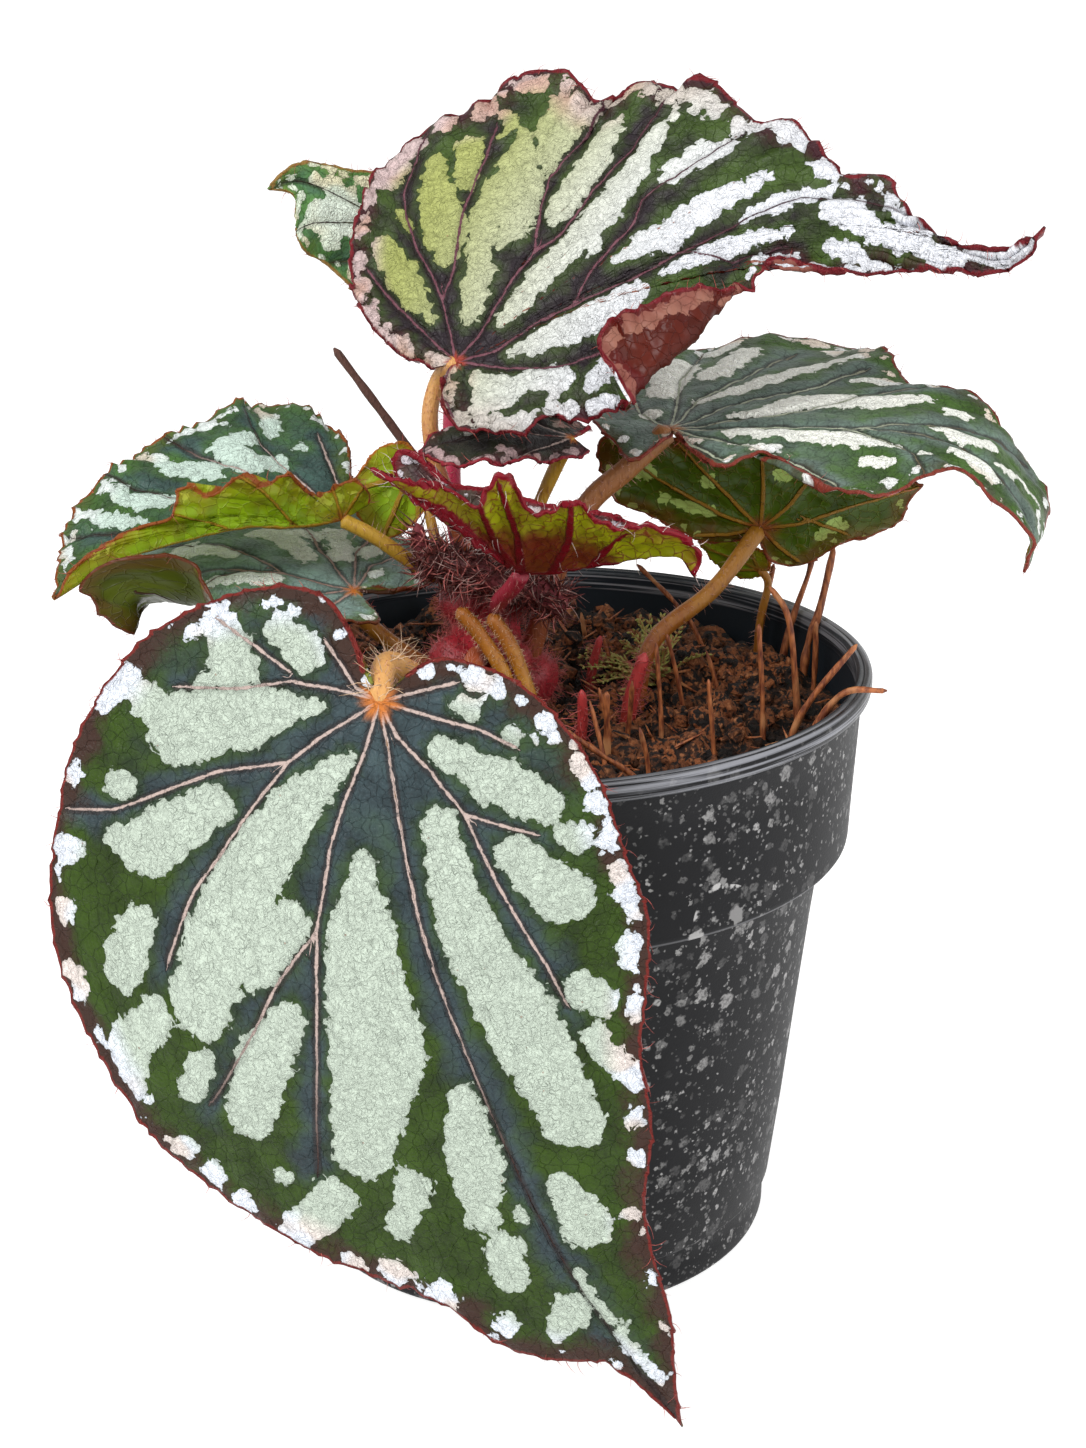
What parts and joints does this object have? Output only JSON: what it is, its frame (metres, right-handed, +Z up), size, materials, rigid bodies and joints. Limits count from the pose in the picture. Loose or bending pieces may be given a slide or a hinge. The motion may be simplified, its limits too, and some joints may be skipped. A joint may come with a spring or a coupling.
{
  "type": "potted rex begonia",
  "caption": "Rex begonia with large silver-patched asymmetric leaves on hairy stalks, rooted in peat in a round tapered black plastic nursery pot with a skirted rim.",
  "frame": {"origin": "centre of the pot's flat base, on the surface it stands on", "axes": "+Z up along the pot's axis, -Y toward the front where the largest leaf hangs over the rim, +X to the right of that view"},
  "size_m": [0.2109, 0.1764, 0.2518],
  "materials": {
    "pot": "dull black recycled plastic with grey-white mineral splashes",
    "soil": "moist dark red-brown peat with straw and bark fibres",
    "leaf": "satin green leaf with silver patches, red margin and fine quilting",
    "young_leaf": "satin red-brown young leaf with pale bristles",
    "petiole": "fleshy ochre stalk with fine pale hairs",
    "red_stem": "fleshy red stem with dense pinkish hairs",
    "straw": "dry dull straw-brown stem",
    "tuft": "dry green-brown fern-like fronds"
  },
  "bodies": {
    "root": {"pot": "pot", "soil": "soil", "rhizome": "red_stem", "leaf_front": "leaf", "stalk_front": "petiole", "leaf_top": "leaf", "stalk_top": "petiole", "leaf_right": "leaf", "stalk_right": "petiole", "leaf_right_low": "leaf", "stalk_right_low": "petiole", "leaf_left": "leaf", "stalk_left": "petiole", "leaf_left_low": "leaf", "stalk_left_low": "petiole", "leaf_back": "leaf", "stalk_back": "red_stem", "leaf_young": "young_leaf", "stalk_young": "red_stem", "leaf_left_back": "leaf", "stalk_left_back": "petiole", "leaf_middle": "young_leaf", "stalk_middle": "petiole", "leaf_right_small": "leaf", "stalk_right_small": "petiole", "dry_stem_01": "straw", "dry_stem_02": "straw", "dry_stem_03": "straw", "dry_stem_04": "straw", "dry_stem_05": "straw", "dry_stem_06": "straw", "dry_stem_07": "straw", "dry_stem_08": "straw", "dry_stem_09": "straw", "dry_stem_10": "straw", "dry_stem_11": "straw", "dry_stem_12": "straw", "dry_stem_13": "straw", "dry_stem_14": "straw", "red_shoot_1": "red_stem", "red_shoot_2": "red_stem", "red_shoot_3": "red_stem", "dry_stick": "straw", "fern_tuft": "tuft"}
  },
  "joints": []
}
